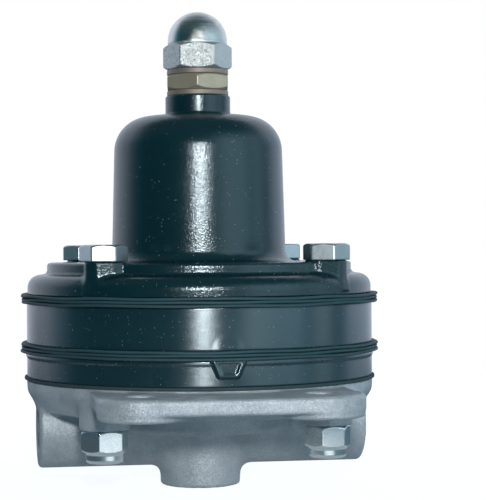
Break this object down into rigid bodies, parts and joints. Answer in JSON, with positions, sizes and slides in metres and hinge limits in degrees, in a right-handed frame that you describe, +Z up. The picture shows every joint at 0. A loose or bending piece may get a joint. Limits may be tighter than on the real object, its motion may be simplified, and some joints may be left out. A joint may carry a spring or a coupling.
{
  "type": "fuel pressure regulator",
  "caption": "Diaphragm fuel pressure regulator with a domed spring bonnet, adjuster under a cap nut, cast base with side and bottom ports, and a mounting foot.",
  "frame": {"origin": "centre of the bottom port's mouth", "axes": "+Z up the adjuster's axis, X along the port bar, -Y towards the mounting foot"},
  "size_m": [0.09, 0.1025, 0.1191],
  "materials": {
    "cast_aluminium": "as cast, fine grain",
    "black_paint": "semi-gloss with slight orange peel",
    "diaphragm_rubber": "matte cut edge",
    "gasket": "matte",
    "zinc_steel": "bright zinc",
    "cap_steel": "turned, satin",
    "passivated_steel": "yellow passivated, dull",
    "plate_steel": "pressed",
    "spring_steel": "drawn wire",
    "turned_aluminium": "turned",
    "copper": "dull copper",
    "brass": "turned",
    "nylon": "natural"
  },
  "bodies": {
    "housing": {"base_body": "cast_aluminium", "valve_seat": "brass", "base_gasket": "gasket", "lower_ring": "black_paint", "lower_diaphragm_bottom_ply": "diaphragm_rubber", "lower_diaphragm_middle_ply": "diaphragm_rubber", "lower_diaphragm_top_ply": "diaphragm_rubber", "middle_ring": "black_paint", "upper_diaphragm_bottom_ply": "diaphragm_rubber", "upper_diaphragm_middle_ply": "diaphragm_rubber", "upper_diaphragm_top_ply": "diaphragm_rubber", "bonnet": "black_paint", "flange_bolts": "zinc_steel", "flange_nuts": "zinc_steel", "nut_inserts": "nylon", "pressure_spring": "spring_steel"},
    "valve_stack": {"lower_plate": "plate_steel", "diaphragm_spacer": "turned_aluminium", "spring_cup": "plate_steel", "valve_stem": "plate_steel", "stem_nut": "zinc_steel", "valve_poppet": "brass", "poppet_seal": "diaphragm_rubber"},
    "spring_seat": {"spring_button": "plate_steel"},
    "adjuster": {"adjuster_screw": "zinc_steel"},
    "lock_seal": {"lock_washer": "copper"},
    "lock": {"lock_nut": "passivated_steel"},
    "cap_seal": {"cap_washer": "copper"},
    "cap": {"cap_nut": "cap_steel"}
  },
  "joints": [
    {"name": "valve_lift", "type": "slide", "parent": "housing", "child": "valve_stack", "axis": [0, 0, 1], "range_m": [0, 0.00095], "stiffness_N_per_m": 1500, "springref_m": -0.004, "deforming": ["lower_diaphragm_bottom_ply", "lower_diaphragm_middle_ply", "lower_diaphragm_top_ply", "upper_diaphragm_bottom_ply", "upper_diaphragm_middle_ply", "upper_diaphragm_top_ply"]},
    {"name": "seat_slide", "type": "slide", "parent": "housing", "child": "spring_seat", "axis": [0, 0, 1], "range_m": [-0.006, 0], "deforming": ["pressure_spring"]},
    {"name": "adjuster_turn", "type": "hinge", "parent": "spring_seat", "child": "adjuster", "pos_m": [0, 0, 0.1], "axis": [0, 0, 1], "range_deg": [-2160, 0]},
    {"name": "lock_slide", "type": "slide", "parent": "housing", "child": "lock_seal", "axis": [0, 0, 1], "range_m": [0, 0.003]},
    {"name": "lock_turn", "type": "hinge", "parent": "lock_seal", "child": "lock", "pos_m": [0, 0, 0.1], "axis": [0, 0, 1], "range_deg": [0, 1080]},
    {"name": "cap_slide", "type": "slide", "parent": "lock", "child": "cap_seal", "axis": [0, 0, 1], "range_m": [0, 0.008]},
    {"name": "cap_turn", "type": "hinge", "parent": "cap_seal", "child": "cap", "pos_m": [0, 0, 0.1], "axis": [0, 0, 1], "range_deg": [0, 2880]}
  ],
  "couplings": [
    {"joint": "adjuster_turn", "follows": "seat_slide", "rad_per_m": 6283.2},
    {"joint": "lock_turn", "follows": "lock_slide", "rad_per_m": 6283.2},
    {"joint": "cap_turn", "follows": "cap_slide", "rad_per_m": 6283.2}
  ]
}
